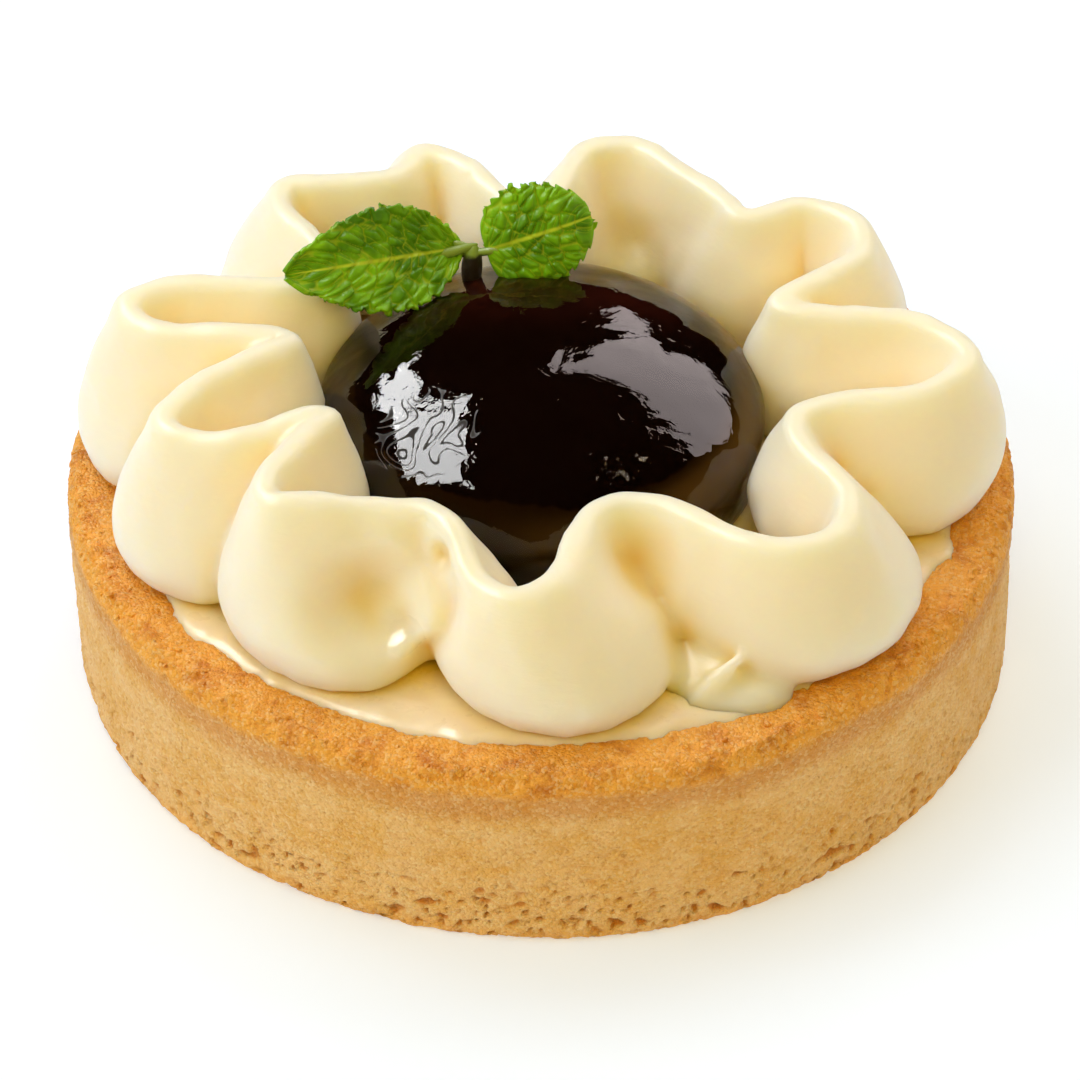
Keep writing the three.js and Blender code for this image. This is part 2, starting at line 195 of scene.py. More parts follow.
class Look:
    """A material under construction, with positions in millimetres."""

    def __init__(self, name):
        self.material = bpy.data.materials.new(name)
        self.material.use_nodes = True
        self.tree = self.material.node_tree
        self.tree.nodes.clear()

    def node(self, kind, settings=None, inputs=None, output=0):
        """Adds a node: its settings first, then a value or link per input. Gives one output."""
        made = self.tree.nodes.new(kind)
        for name, value in (settings or {}).items():
            setattr(made, name, value)
        for key, value in (inputs or {}).items():
            if isinstance(value, Wire):
                self.tree.links.new(value.socket, made.inputs[key])
            else:
                made.inputs[key].default_value = value
        return Wire(self, made.outputs[output])

    def place(self, stretch=(1, 1, 1)):
        """The object's own coordinates in millimetres, stretched along each axis."""
        raw = self.node("ShaderNodeTexCoord", output="Object")
        scale = Vector(stretch) / MM
        return self.node("ShaderNodeMapping", inputs={"Vector": raw, "Scale": scale})

    def part(self, vector, axis):
        return self.node("ShaderNodeSeparateXYZ", inputs={0: vector}, output=axis)

    def stored(self, attribute):
        """A number that the mesh stores at its corners."""
        return self.node("ShaderNodeAttribute", {"attribute_name": attribute}, output="Fac")

    def noise(self, size, detail=2.0, roughness=0.5, distortion=0.0, at=None):
        """Noise between about 0 and 1 whose blobs are size millimetres wide."""
        inputs = {
            "Vector": at or self.place(),
            "Scale": 1 / size,
            "Detail": detail,
            "Roughness": roughness,
            "Distortion": distortion,
        }
        return self.node("ShaderNodeTexNoise", inputs=inputs)

    def cells(self, size, output=0):
        """Distance, or another output, of a pattern of cells that are size millimetres wide."""
        inputs = {"Vector": self.place(), "Scale": 1 / size}
        return self.node("ShaderNodeTexVoronoi", inputs=inputs, output=output)

    def away(self, centre, at=None):
        """Distance from a place in millimetres."""
        inputs = {0: at or self.place(), 1: centre}
        return self.node("ShaderNodeVectorMath", {"operation": "DISTANCE"}, inputs, "Value")

    def near(self, centre, reach):
        """1 round a place in millimetres, fading to 0 at the reach."""
        return self.away(centre).step(reach, reach * 0.35)

    def mix(self, share, first, second):
        """A colour between two others; 0, 6 and 7 are the Mix node's colour sockets."""
        settings = {"data_type": "RGBA", "clamp_factor": True}
        return self.node("ShaderNodeMix", settings, {0: share, 6: first, 7: second}, output=2)

    def bump(self, height, depth, normal=None):
        """A normal from a height of 0 to 1 that stands for depth millimetres."""
        inputs = {"Strength": 1.0, "Distance": depth * MM, "Height": height}
        if normal:
            inputs["Normal"] = normal
        return self.node("ShaderNodeBump", inputs=inputs)

    def principled(self, inputs):
        return self.node("ShaderNodeBsdfPrincipled", {"subsurface_method": "RANDOM_WALK"}, inputs)

    def finish(self, surface):
        end = self.tree.nodes.new("ShaderNodeOutputMaterial")
        self.tree.links.new(surface.socket, end.inputs["Surface"])
        return self.material


def opaque(colour):
    """A colour property as red, green, blue and alpha."""
    return (*colour[:3], 1.0)


def shortcrust_look(settings):
    """Sandy crumb that is browned at the rim and the foot, with pale grains and painted shade in its
    holes and pits.
    """
    look = Look("shortcrust")
    height = look.part(look.place(), "Z")
    wander = look.noise(9, 3) - 0.5
    level = height + wander * 2.2
    blotch = look.noise(5, 4, 0.65)
    grain = look.cells(GRAIN)
    shade = look.part(look.cells(GRAIN, output="Color"), "X")
    fine = look.noise(0.16, 2, 0.6)
    patch = look.noise(2.6, 4, 0.65)
    crumb = look.mix(blotch.step(0.4, 0.62), opaque(settings.crumb), opaque(settings.crumb_dark))
    browned = look.mix(patch.step(0.46, 0.76), opaque(settings.brown), opaque(settings.brown_deep))
    colour = look.mix(level.step(15.4, 16.4), crumb, browned)
    under_rim = level.step(12.4, 14.8) * level.step(16.6, 15.4) * 0.5
    colour = look.mix(under_rim, colour, opaque(settings.brown_deep))
    foot = level.step(1.8, 0.0) * 0.8
    colour = look.mix(foot, colour, browned)
    colour = look.mix(shade.step(0.6, 1.0) * 0.3, colour, opaque(settings.speck))
    # Painted shade: holes and pits are darkened with deep brown; some grains are darker at random
    # too
    pits = look.noise(0.5, 3, 0.7).step(0.6, 0.74) * 0.45
    holes = look.stored(PIT).step(0.1, 0.5) * 0.7
    dark = (shade.step(0.3, 0.0) * 0.3).most(pits).most(holes)
    colour = look.mix(dark, colour, opaque(settings.brown_deep))
    relief = (1 - grain) * 0.7 + shade * 0.3 + fine * 0.4 - pits
    surface = look.principled(
        {
            "Base Color": colour,
            "Roughness": 0.4 + 0.4 * fine,
            "Subsurface Weight": 0.12,
            "Subsurface Radius": (1.0, 0.5, 0.2),
            "Subsurface Scale": 0.9 * MM,
            "Specular IOR Level": 0.25,
            "Normal": look.bump(relief, 0.2),
        }
    )
    return look.finish(surface)


def cream_look(name, colour, settings, wetness, depth, shift):
    """Cream with painted shade: yellower and darker in its hollows; shift is how closed in it is
    before the shade shows.
    """
    look = Look(name)
    hollow = look.stored(HOLLOW)
    drag = look.noise(1.6, 3, 0.55, at=look.place((1, 1, 3.2)))
    soft = look.noise(4.5, 2) - 0.5
    shade = hollow + soft * 0.08 - shift
    # Painted shade: the cream takes the shaded colours where it is closed in
    tint = look.mix(shade.step(0.0, 0.4), opaque(colour), opaque(settings.fold_shade_cream))
    tint = look.mix(shade.step(0.26, 0.66), tint, opaque(settings.deep_fold_shade_cream))
    wet = look.near(WET_LEDGE, 2.6) * 0.25
    surface = look.principled(
        {
            "Base Color": tint,
            "Roughness": 0.32 - wetness + 0.18 * drag - wet,
            "Subsurface Weight": 1.0,
            "Subsurface Radius": (1.0, 0.88, 0.6),
            "Subsurface Scale": depth,
            "Specular IOR Level": 0.35,
            "Normal": look.bump(drag, 0.04),
        }
    )
    return look.finish(surface)


def core_look(settings):
    """Near-black gel that turns to a clearer brown past its uneven edge."""
    look = Look("berry_core")
    place = look.place()
    flat = look.node("ShaderNodeMapping", inputs={"Vector": place, "Scale": (1.0, 1.0, 0.0)})
    away = look.away(CORE_MIDDLE, flat)
    edge = settings.core_radius / MM
    wavy = away + (look.noise(4.5, 3, 0.6) - 0.5) * 1.8
    glow = look.part(place, "Y").step(1, 15) * look.noise(9, 2).step(0.2, 0.75)
    black = look.mix(glow, opaque(settings.core), opaque(settings.core_red))
    lit_side = look.part(place, "X").step(-8, 10) * away.step(edge, edge + 2.2)
    brown = look.mix(lit_side, opaque(settings.fringe), opaque(settings.fringe_pale))
    colour = look.mix(wavy.step(edge - 0.15, edge + 0.15), black, brown)
    surface = look.principled({"Base Color": colour, "Roughness": 1.0, "Specular IOR Level": 0.0})
    return look.finish(surface)


def glaze_look(name, colour):
    """Clear glaze with gentle waves and, at one place, fine creases."""
    look = Look(name)
    ripple = look.noise(7, 2, 0.5, 0.6)
    dimple = look.noise(1.6, 3, 0.6)
    folds = (look.noise(4.5, 1, 0.5, 0.6) * 34).sine()
    creased = look.near(WRINKLED_SKIN, 5.6).step(0.1, 0.4)
    creases = (1 - abs(folds).step(0.12, 0.4)) * creased
    skin = look.bump(dimple, 0.035, look.bump(ripple, 0.25))
    surface = look.principled(
        {
            "Base Color": opaque(colour),
            "Roughness": 0.02 + 0.95 * creases,
            "IOR": 1.38,
            "Transmission Weight": 1.0,
            "Specular IOR Level": 0.3,
            "Normal": skin,
        }
    )
    return look.finish(surface)


def mint_look(settings):
    """Green leaf with a pale midrib, side veins and a fine net between its quilted cells."""
    look = Look("mint_leaf")
    chart = look.node("ShaderNodeUVMap", {"uv_map": BLADE}, output="UV")
    along = look.part(chart, "X")
    side = abs(look.part(chart, "Y") - 0.5) * 2
    phase = (along - settings.vein_slant * side) * settings.veins * math.pi
    lateral = 1 - abs(phase.sine()).step(0.0, 0.16)
    midrib = 1 - side.step(0.01, 0.06)
    veins = midrib.most(lateral * side.step(1.0, 0.3) * 0.4)
    patch = look.noise(3, 3)
    green = look.mix(patch.step(0.3, 0.7), opaque(settings.leaf_dark), opaque(settings.leaf))
    net = look.stored(QUILT).step(0.3, 0.04) * 0.5
    green = look.mix(net, green, opaque(settings.vein))
    colour = look.mix(veins, green, opaque(settings.vein))
    fine = look.noise(0.25, 2)
    surface = look.principled(
        {
            "Base Color": colour,
            "Roughness": 0.3 + 0.2 * patch,
            "Subsurface Weight": 0.15,
            "Subsurface Radius": (0.5, 1.0, 0.2),
            "Subsurface Scale": 0.4 * MM,
            "Specular IOR Level": 0.22,
            "Normal": look.bump(fine, 0.03),
        }
    )
    return look.finish(surface)


def stem_look(settings):
    look = Look("mint_stem")
    patch = look.noise(1.5, 3)
    height = look.part(look.place(), "Z") + (patch - 0.5) * 1.2
    colour = look.mix(height.step(30.4, 30.0), opaque(settings.stem), opaque(settings.stem_dark))
    bark = look.bump(patch, 0.2)
    surface = look.principled({"Base Color": colour, "Roughness": 0.45, "Normal": bark})
    return look.finish(surface)


def floor_look(settings):
    look = Look("studio_floor")
    grain = look.noise(60, 2)
    colour = look.mix(grain * 0.1, opaque(settings.floor), (0.9, 0.9, 0.9, 1))
    surface = look.principled(
        {
            "Base Color": colour,
            "Roughness": 0.9,
            "Specular IOR Level": 0.1,
            "Emission Color": (1, 1, 1, 1),
            "Emission Strength": settings.glow,
        }
    )
    return look.finish(surface)


# ---------------------------------------------------------------- mesh helpers


def finished(name, shape, material, slot, *nodes):
    """Turns a bmesh into a piece that rides on the tart and stands for its CAD nodes."""
    mesh = bpy.data.meshes.new(name)
    shape.to_mesh(mesh)
    shape.free()
    mesh.shade_smooth()
    piece = bpy.data.objects.new(name, mesh)
    bpy.context.scene.collection.objects.link(piece)
    mesh.materials.append(material)
    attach(piece, BODY)
    if nodes:
        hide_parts(*nodes)
    return piece


def apply_modifiers(piece):
    """Makes the piece's modifiers part of its mesh."""
    with bpy.context.temp_override(object=piece, active_object=piece, selected_objects=[piece]):
        for modifier in list(piece.modifiers):
            bpy.ops.object.modifier_apply(modifier=modifier.name)


def arc(centre, size, start, end, steps):
    """Points [radius, height] of an arc, angles in degrees."""
    points = []
    for i in range(steps + 1):
        angle = math.radians(start + (end - start) * i / steps)
        points.append((centre[0] + size * math.cos(angle), centre[1] + size * math.sin(angle)))
    return points


def line(start, end, steps):
    """Points [radius, height] from start up to, and without, end."""
    return [
        (start[0] + (end[0] - start[0]) * i / steps, start[1] + (end[1] - start[1]) * i / steps)
        for i in range(steps)
    ]


def spun(profile, steps):
    """A closed shape of revolution from profile points in millimetres, its ends on the axis."""
    shape = bmesh.new()
    verts = [shape.verts.new((radius * MM, 0, height * MM)) for radius, height in profile]
    edges = [shape.edges.new(pair) for pair in zip(verts, verts[1:])]
    sector = 2 * math.pi / SECTORS
    bmesh.ops.spin(
        shape,
        geom=verts + edges,
        cent=(0, 0, 0),
        axis=UP,
        angle=sector,
        steps=steps // SECTORS,
    )
    first = shape.verts[:] + shape.edges[:] + shape.faces[:]
    for i in range(1, SECTORS):
        made = bmesh.ops.duplicate(shape, geom=first)["geom"]
        moved = [item for item in made if isinstance(item, bmesh.types.BMVert)]
        turn = Matrix.Rotation(sector * i, 3, "Z")
        bmesh.ops.rotate(shape, verts=moved, cent=(0, 0, 0), matrix=turn)
    bmesh.ops.remove_doubles(shape, verts=shape.verts, dist=WELD)
    bmesh.ops.recalc_face_normals(shape, faces=shape.faces)
    return shape


def push(shape, depth_at):
    """Moves each vertex along its normal by depth_at(place), all in millimetres."""
    shape.normal_update()
    moves = [(vert, vert.normal * (depth_at(vert.co / MM) * MM)) for vert in shape.verts]
    for vert, move in moves:
        vert.co += move


def copy_of(node):
    """The CAD node's mesh as a bmesh with its loose triangles merged."""
    shape = bmesh.new()
    shape.from_mesh(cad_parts[node].data)
    bmesh.ops.remove_doubles(shape, verts=shape.verts, dist=WELD)
    return shape


def tightened(shape, rounds=8):
    """Pushes a cage out until the smooth surface it rounds to goes through its first corners."""
    aims = [vert.co.copy() for vert in shape.verts]
    rings = []
    for vert in shape.verts:
        near = [edge.other_vert(vert) for edge in vert.link_edges]
        skipped = {vert, *near}
        corners = [corner for face in vert.link_faces for corner in face.verts]
        far = [corner for corner in corners if corner not in skipped]
        rings.append((vert, near, far))
    for _ in range(rounds):
        misses = []
        for (vert, near, far), aim in zip(rings, aims):
            count = len(near)
            around = sum((corner.co for corner in near), Vector()) * 4
            around += sum((corner.co for corner in far), Vector())
            misses.append(aim - (vert.co * count**2 + around) / (count**2 + 4 * count + len(far)))
        for (vert, _, _), miss in zip(rings, misses):
            vert.co += miss


def pull(shape, pulls):
    """Moves the surface round each centre, most at the centre and nothing at the reach."""
    for centre, reach, move in pulls:
        centre = Vector(centre) * MM
        for vert in shape.verts:
            away = (vert.co - centre).length / (reach * MM)
            if away < 1:
                vert.co += Vector(move) * (MM * ease(1 - away))


def add_strand(shape, start, start_radius, end, end_radius):
    """Adds a closed tapering strand with rounded ends."""
    start, end = Vector(start) * MM, Vector(end) * MM
    way = end - start
    turn = way.to_track_quat("Z", "Y").to_matrix().to_4x4()
    made = bmesh.ops.create_uvsphere(shape, u_segments=24, v_segments=16, radius=1.0)
    for vert in made["verts"]:
        share = (vert.co.z + 1) / 2
        radius = (start_radius + (end_radius - start_radius) * share) * MM
        vert.co = Vector((vert.co.x * radius, vert.co.y * radius, share * way.length))
    bmesh.ops.transform(shape, verts=made["verts"], matrix=Matrix.Translation(start) @ turn)


def surface_of(piece):
    """The piece's surface as a tree for ray casts."""
    corners = [vert.co for vert in piece.data.vertices]
    return BVHTree.FromPolygons(corners, [face.vertices for face in piece.data.polygons])


def mark_hollows(piece, *others):
    """Stores how closed in each vertex is: 0 in the open, 1 where every ray meets cream; the cream's
    look paints shade from it. The places in FOLD_SHADE_SPOTS count as more closed in, for more
    painted shade."""
    trees = [surface_of(thing) for thing in (piece, *others)]
    golden = math.pi * (3 - math.sqrt(5))
    ways = []
    for i in range(HOLLOW_RAYS):
        z = 1 - 2 * (i + 0.5) / HOLLOW_RAYS
        flat = math.sqrt(1 - z * z)
        ways.append(Vector((flat * math.cos(golden * i), flat * math.sin(golden * i), z)))
    shut = []
    for vert in piece.data.vertices:
        normal = vert.normal
        start = vert.co + normal * (0.15 * MM)
        total = met = 0.0
        for way in ways:
            if way.dot(normal) < 0.1:
                continue
            total += 1
            for tree in trees:
                distance = tree.ray_cast(start, way, HOLLOW_REACH)[3]
                if distance is not None:
                    met += 1 - distance / HOLLOW_REACH
                    break
        shut.append(met / total)
    for centre, reach, share in FOLD_SHADE_SPOTS:
        centre, reach = Vector(centre) * MM, reach * MM
        for i, vert in enumerate(piece.data.vertices):
            shut[i] += share * ease(1 - (vert.co - centre).length / reach)
    edges = [tuple(edge.vertices) for edge in piece.data.edges]
    for _ in range(HOLLOW_ROUNDS):
        sums = list(shut)
        counts = [1] * len(shut)
        for first, second in edges:
            sums[first] += shut[second]
            sums[second] += shut[first]
            counts[first] += 1
            counts[second] += 1
        shut = [value / count for value, count in zip(sums, counts)]
    store = piece.data.attributes.new(HOLLOW, "FLOAT", "POINT")
    store.data.foreach_set("value", shut)


def ease(share):
    share = min(max(share, 0.0), 1.0)
    return share * share * (3 - 2 * share)


# ---------------------------------------------------------------- settings


def colour_property(name, description, value):
    return bpy.props.FloatVectorProperty(
        name=name, description=description, subtype="COLOR", size=3, min=0, max=1, default=value
    )


def length_property(name, description, value):
    return bpy.props.FloatProperty(
        name=name,
        description=description,
        subtype="DISTANCE",
        unit="LENGTH",
        default=value,
        precision=5,
    )


def number_property(name, description, value):
    return bpy.props.FloatProperty(name=name, description=description, default=value)


def power_property(name, description, value):
    return bpy.props.FloatProperty(
        name=name, description=description, subtype="POWER", unit="POWER", default=value, min=0
    )


class ShellSettings(bpy.types.PropertyGroup):
    crumb: colour_property("Crumb", "Pale crumb of the wall", (0.92, 0.54, 0.19))
    crumb_dark: colour_property("Baked Crumb", "Darker patches of the wall", (0.87, 0.46, 0.11))
    brown: colour_property("Brown", "Browned rim", (0.94, 0.42, 0.055))
    brown_deep: colour_property("Deep Brown", "Darkest browned spots", (0.64, 0.20, 0.015))
    speck: colour_property("Speck", "Pale sandy grains", (0.98, 0.76, 0.40))
    pit: length_property("Pit Depth", "Depth of the holes in the crumb", 0.7 * MM)


class CreamSettings(bpy.types.PropertyGroup):
    ganache: colour_property("Ganache", "Piped white ganache in the open", (0.95, 0.82, 0.65))
    base: colour_property("Base Cream", "Set cream under the ruffle", (0.90, 0.75, 0.56))
    # Painted shade: the next two colours stand in for the shade on the sides and in the bottom of a
    # fold
    fold_shade_cream: colour_property("Warm Cream", "Cream on the sides of a fold", (0.96, 0.79, 0.52))
    deep_fold_shade_cream: colour_property("Deep Cream", "Cream in the bottom of a fold", (0.97, 0.69, 0.18))
    depth: length_property("Glow Depth", "How far light travels inside the ganache", 4.2 * MM)
    base_depth: length_property("Base Glow Depth", "The same inside the set cream", 0.8 * MM)
    voxel: length_property("Voxel", "Mesh size of the ruffle", 0.38 * MM)
    smoothing: bpy.props.IntProperty(
        name="Smoothing", description="Rounds of smoothing", default=4, min=0
    )


class DomeSettings(bpy.types.PropertyGroup):
    core: colour_property("Core", "Dark berry gel", (0.004, 0.0015, 0.001))
    core_red: colour_property("Red Core", "Where light reddens the gel", (0.035, 0.007, 0.005))
    glaze: colour_property("Glaze", "Clear glaze over the gel", (0.74, 0.58, 0.35))
    bubble: colour_property("Bubble", "Skin of the bubbles", (0.97, 0.95, 0.92))
    fringe: colour_property("Fringe", "Clear brown gel next to the core", (0.012, 0.006, 0.0015))
    fringe_pale: colour_property("Pale Fringe", "Clear brown gel at the edge", (0.10, 0.058, 0.014))
    core_radius: length_property("Core Radius", "Radius of the near-black middle", 15.4 * MM)
    core_depth: length_property("Core Depth", "Thickness of the glaze over the core", 0.35 * MM)


class MintSettings(bpy.types.PropertyGroup):
    leaf: colour_property("Leaf", "Green of the blade", (0.24, 0.52, 0.005))
    leaf_dark: colour_property("Dark Leaf", "Darker green of the blade", (0.08, 0.23, 0.002))
    vein: colour_property("Vein", "Pale green of the veins", (0.50, 0.62, 0.03))
    stem: colour_property("Stem", "Green of the stem", (0.24, 0.34, 0.04))
    stem_dark: colour_property("Dark Stem", "Brown of the cut stem", (0.02, 0.012, 0.005))
    veins: number_property("Veins", "Side veins along a leaf", 8)
    vein_slant: number_property("Slant", "How far side veins run on along the leaf", 0.34)
    thickness: length_property("Thickness", "Thickness of a leaf", 0.4 * MM)


class StageSettings(bpy.types.PropertyGroup):
    floor: colour_property("Floor", "Colour of the studio floor", (0.62, 0.70, 0.88))
    floor_side: length_property("Floor Side", "Length of the floor's sides", 8.0)
    glow: number_property("Floor Glow", "Light that the floor gives", 0.36)
    key: power_property("Key", "Light behind on the left", 1.8)
    glint: power_property("Glint", "Small light on the left, for reflections", 7.6)
    window: power_property("Window", "Wide light behind on the right, for reflections", 3.7)
    back: power_property("Back", "Soft light behind", 2.3)
    overhead: power_property("Overhead", "Soft light above", 1.7)
    front: power_property("Front", "Soft light on the camera's side", 4.4)
    left: power_property("Left", "Soft light on the left", 5.9)
    right: power_property("Right", "Soft light on the right", 1.7)


# ---------------------------------------------------------------- pieces


def settings_of(kind):
    return getattr(bpy.context.scene, "tart_" + kind)


class TART_OT_shell(bpy.types.Operator):
    """Bakes the shortcrust shell: a spun wall with a sandy, pitted crumb."""

    bl_idname = "tart.shell"
    bl_label = "Shortcrust Shell"

    def execute(self, context):
        settings = settings_of("shell")
        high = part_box("tart_shell")[1]
        radius = high.x / MM
        foot_radius = radius - 0.4  # the wall leans out a little
        top = high.z / MM - 0.35  # leaves room for the flakes of the lip
        bore = radius - WALL
        foot_round, lip_round, bore_round = 0.8, 1.6, 1.2
        profile = [
            *line((0, 0), (foot_radius - foot_round, 0), 2),
            *arc((foot_radius - foot_round, foot_round), foot_round, -90, 0, 5),
            *line((foot_radius, 1.0), (radius, top - 1.7), 62),
            *arc((radius - lip_round, top - lip_round), lip_round, 0, 90, 12),
            *line((radius - 1.9, top), (bore + bore_round, top), 8),
            *arc((bore + bore_round, top - bore_round), bore_round, 90, 180, 5),
            *line((bore, top - 1.4), (bore, SHELL_FLOOR), 2),
            *line((bore, SHELL_FLOOR), (0, SHELL_FLOOR), 2),
            (0, SHELL_FLOOR),
        ]
        shape = spun(profile, SHELL_STEPS)
        pit_depth = settings.pit / MM
        pit_store = shape.verts.layers.float.new(PIT)

        def holes_at(place):
            """How deep a hole is, from 0 to 1; most holes are low on the wall."""
            low_wall = 0.25 + 0.75 * ease((7.5 - place.z) / 5)
            wide = max(0.0, noise.noise(place * Vector((0.8, 0.8, 1.4)) + Vector((7, 3, 1))) - 0.3)
            small = max(0.0, noise.noise(place * 1.9 + Vector((1, 9, 4))) - 0.3)
            return low_wall * min(1.0, 2.4 * wide + 2.6 * small)

        def baked(place):
            """Bulges, crumb, a flaky lip and holes."""
            reach = math.hypot(place.x, place.y)
            if reach < bore + 0.1 or place.z < 0.01:
                return 0.0
            bulge = noise.noise(place * 0.09) * 0.16 + noise.noise(place * 0.31) * 0.1
            crumb = noise.fractal(place * 1.1, 0.7, 2.1, 3) * 0.12
            lip = ease(1 - abs(reach - radius + 1.0) / 0.9) * ease((place.z - 15.5) / 1.5)
            broken = noise.noise(place * Vector((0.9, 0.9, 1.2))) + 0.6 * noise.noise(place * 2.3)
            rim = ease((place.z - 14) / 3)
            behind = 1 - 0.8 * ease((place.y - 5) / 10)
            flakes = lip * max(0.0, broken) * 0.9 * behind - rim * max(0.0, -broken) * 0.25
            return bulge * 0.6 + crumb - 0.05 + flakes - pit_depth * holes_at(place)

        for vert in shape.verts:
            vert[pit_store] = holes_at(vert.co / MM)
        push(shape, baked)
        for vert in shape.verts:
            place = vert.co / MM
            sunk = 1.0 * ease((place.y - 8) / 12) * ease((place.z - 13) / 3)
            vert.co.z = min(max(vert.co.z - sunk * MM, 0.0), high.z)
            reach = math.hypot(place.x, place.y)
            spread = 0.35 * ease((place.x * 0.8 - place.y * 0.6 - 12) / 20)
            spread *= ease((12 - place.z) / 8)
            if reach > bore:
                vert.co.xy *= min(reach + spread, radius) / reach
        material = shortcrust_look(settings)
        shell = finished("crust_shell", shape, material, "shortcrust", "tart_shell")
        self.crumbs(shell, radius, high, material)
        return {"FINISHED"}

    def crumbs(self, shell, radius, high, material):
        """Broken flakes along the rim's outer edge, each sunk into the crust."""
        tree = surface_of(shell)
        draw = random.Random(CRUMB_SEED)
        shape = bmesh.new()
        for _ in range(CRUMBS):
            turn = draw.uniform(0, 2 * math.pi)
            reach = min(draw.gauss(radius - 1.1, 0.75), radius - 0.35)
            if math.sin(turn) > 0.3:
                reach -= 1.0  # further in at the back, where the rim is sunk
            size = draw.uniform(0.12, 0.2) + 0.22 * draw.random() ** 4
            above = Vector((reach * math.cos(turn), reach * math.sin(turn), 25)) * MM
            spot = tree.ray_cast(above, Vector((0, 0, -1)))[0]
            if spot is None:
                continue
            made = bmesh.ops.create_icosphere(shape, subdivisions=1, radius=1.0)["verts"]
            spin = Matrix.Rotation(draw.uniform(0, 6.28), 3, "Z")
            spin = spin @ Matrix.Rotation(draw.uniform(-1, 1), 3, "X")
            for vert in made:
                vert.co *= draw.uniform(0.7, 1.15)
                vert.co = spot + spin @ (vert.co * Vector((1.2, 0.9, 0.7)) * (size * MM))
                vert.co.z = min(vert.co.z, high.z)
        bmesh.ops.recalc_face_normals(shape, faces=shape.faces)
        piece = finished("crumbs", shape, material, "shortcrust")
        piece.data.shade_flat()


class TART_OT_cream_base(bpy.types.Operator):
    """Pours the set cream that fills the shell up to its rim."""

    bl_idname = "tart.cream_base"
    bl_label = "Set Cream"

    def execute(self, context):
        settings = settings_of("cream")
        low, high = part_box("cream_filling")
        radius = high.x / MM
        top = high.z / MM
        bottom = low.z / MM
        edge = radius + 1.8  # it runs over the shell's lip
        profile = [
            *line((0, bottom), (radius, bottom), 6),
            *line((radius, bottom), (radius, top - 3.0), 6),
            *line((radius, top - 3.0), (edge, top - 2.0), 4),
            *arc((edge - 2.0, top - 2.0), 2.0, 0, 90, 14),
            *line((edge - 2.2, top), (radius - 6, top), 22),
            *line((radius - 6, top), (0, top), 24),
            (0, top),
        ]
        shape = spun(profile, CREAM_STEPS)

        def swirl(place):
            if place.z < top - 1.2:
                return 0.0
            return -0.12 + 0.14 * noise.noise(place * 0.5) - 0.05 * abs(noise.noise(place * 1.6))

        push(shape, swirl)
        for vert in shape.verts:
            place = vert.co / MM
            reach = math.hypot(place.x, place.y)
            share = ease((reach - radius + 4) / 5) * ease((place.z - top + 2.8) / 1.2)
            if share > 0:
                azimuth = math.degrees(math.atan2(place.y, place.x))
                spread = 0.3 * noise.noise(place.xy.normalized().to_3d() * 9)
                for centre, width, out in SMEARS:
                    spread += out * ease(1 - abs(azimuth - centre) / width)
                vert.co.xy *= 1 + spread * share / reach
                vert.co.z += (0.1 + 0.16 * max(0.0, spread)) * share * MM
        look = cream_look("set_cream", settings.base, settings, 0.12, settings.base_depth, 0.2)
        finished("cream_base", shape, look, "cream", "cream_filling")
        return {"FINISHED"}


class TART_OT_ruffle(bpy.types.Operator):
    """Pipes the ganache ruffle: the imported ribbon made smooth, with its folds pressed together."""

    bl_idname = "tart.ruffle"
    bl_label = "Ganache Ruffle"

    def execute(self, context):
        settings = settings_of("cream")
        shape = copy_of("ganache_ruffle")
        bmesh.ops.join_triangles(
            shape,
            faces=shape.faces,
            angle_face_threshold=math.pi,
            angle_shape_threshold=math.pi,
        )
        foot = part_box("ganache_ruffle")[0].z
        # Long edges across the flat foot are cut, so that it stays flat when the rest is rounded
        across = [
            edge
            for edge in shape.edges
            if max(vert.co.z for vert in edge.verts) < foot + 0.05 * MM
            and edge.calc_length() > 2.4 * MM
        ]
        bmesh.ops.subdivide_edges(shape, edges=across, cuts=5)
        tightened(shape)
        look = cream_look("ganache", settings.ganache, settings, 0.0, settings.depth, 0.09)
        piece = finished("ruffle", shape, look, "ganache", "ganache_ruffle")
        rounder = piece.modifiers.new("rounder", "SUBSURF")
        rounder.levels = rounder.render_levels = 2
        apply_modifiers(piece)
        shape = bmesh.new()
        shape.from_mesh(piece.data)
        pull(shape, PULLS)
        for strand in STRANDS:
            add_strand(shape, *strand)
        shape.to_mesh(piece.data)
        shape.free()
        press = piece.modifiers.new("press", "REMESH")
        press.mode = "VOXEL"
        press.voxel_size = settings.voxel
        ironed = piece.modifiers.new("ironed", "SMOOTH")
        ironed.factor = 0.5
        ironed.iterations = settings.smoothing
        apply_modifiers(piece)
        shape = bmesh.new()
        shape.from_mesh(piece.data)
        feet = [vert for vert in shape.verts if vert.co.z < foot + 1.5 * MM]
        for _ in range(8):
            bmesh.ops.smooth_vert(shape, verts=feet, factor=0.5, use_axis_x=True, use_axis_y=True)
        for centre, reach, rounds in SOFTENED:
            near = [vert for vert in shape.verts if (vert.co / MM - Vector(centre)).length < reach]
            for _ in range(rounds):
                bmesh.ops.smooth_vert(
                    shape, verts=near, factor=0.5, use_axis_x=True, use_axis_y=True, use_axis_z=True
                )

        def uneven(place):
            waves = 0.16 * noise.noise(place * 0.33)
            return waves + 0.07 * noise.noise(place * Vector((0.55, 0.55, 0.4))) - 0.05

        push(shape, uneven)
        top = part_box("ganache_ruffle")[1].z
        for vert in shape.verts:
            vert.co.z = min(vert.co.z, top)
        shape.to_mesh(piece.data)
        shape.free()
        piece.data.shade_smooth()
        # How closed in the cream is, from which its shade is painted
        mark_hollows(piece, bpy.data.objects["cream_base"])
        mark_hollows(bpy.data.objects["cream_base"], piece)
        return {"FINISHED"}


